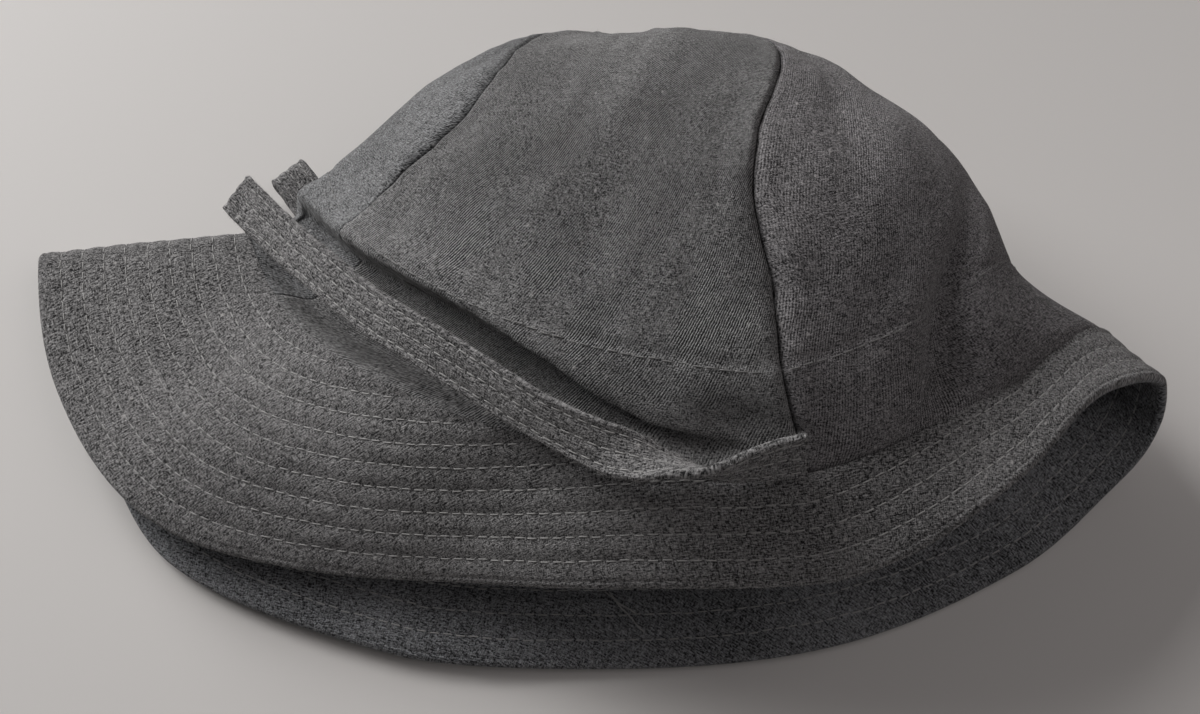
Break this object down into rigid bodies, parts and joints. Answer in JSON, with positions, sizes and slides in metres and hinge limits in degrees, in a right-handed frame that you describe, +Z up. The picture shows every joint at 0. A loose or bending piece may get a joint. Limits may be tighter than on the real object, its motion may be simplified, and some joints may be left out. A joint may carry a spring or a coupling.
{
  "type": "soft brimmed hat",
  "caption": "Soft cloth hat of the boonie family lying collapsed on its side, with a panelled crown, a quilted brim deep in front and short behind, and a tie on each side seam.",
  "frame": {"origin": "centre of the overall box in X and Y, at the height of the table it lies on", "axes": "+Z up from the table; the crown points along +Y and the mouth faces -Y; the front of the hat, with the deep brim, is at -X"},
  "size_m": [0.2914, 0.1636, 0.0709],
  "materials": {
    "crown_cloth": "soft heathered charcoal wool twill",
    "brim_cloth": "soft heathered charcoal wool, quilted in rows",
    "band_cloth": "matt dark cloth",
    "filling": "soft felt",
    "tie_cloth": "soft heathered charcoal wool with rows of stitches"
  },
  "bodies": {
    "hat": {"crown_panel_front_near": "crown_cloth", "crown_panel_front_far": "crown_cloth", "crown_panel_back_far": "crown_cloth", "crown_panel_back_near": "crown_cloth", "sweatband": "band_cloth", "brim_upper_ply": "brim_cloth", "brim_interlining": "filling", "brim_under_ply": "brim_cloth"},
    "near_tie": {"near_tie": "tie_cloth"},
    "far_tie": {"far_tie": "tie_cloth"}
  },
  "joints": [
    {"name": "near_tie_swing", "type": "hinge", "parent": "hat", "child": "near_tie", "pos_m": [0.04961, -0.0457, 0.05488], "axis": [-0.0661, 0.6206, 0.7813], "range_deg": [0, 100]},
    {"name": "far_tie_swing", "type": "hinge", "parent": "hat", "child": "far_tie", "pos_m": [-0.02686, -0.04921, 0.00566], "axis": [-0.348, -0.9373, -0.0185], "range_deg": [0, 90]}
  ]
}
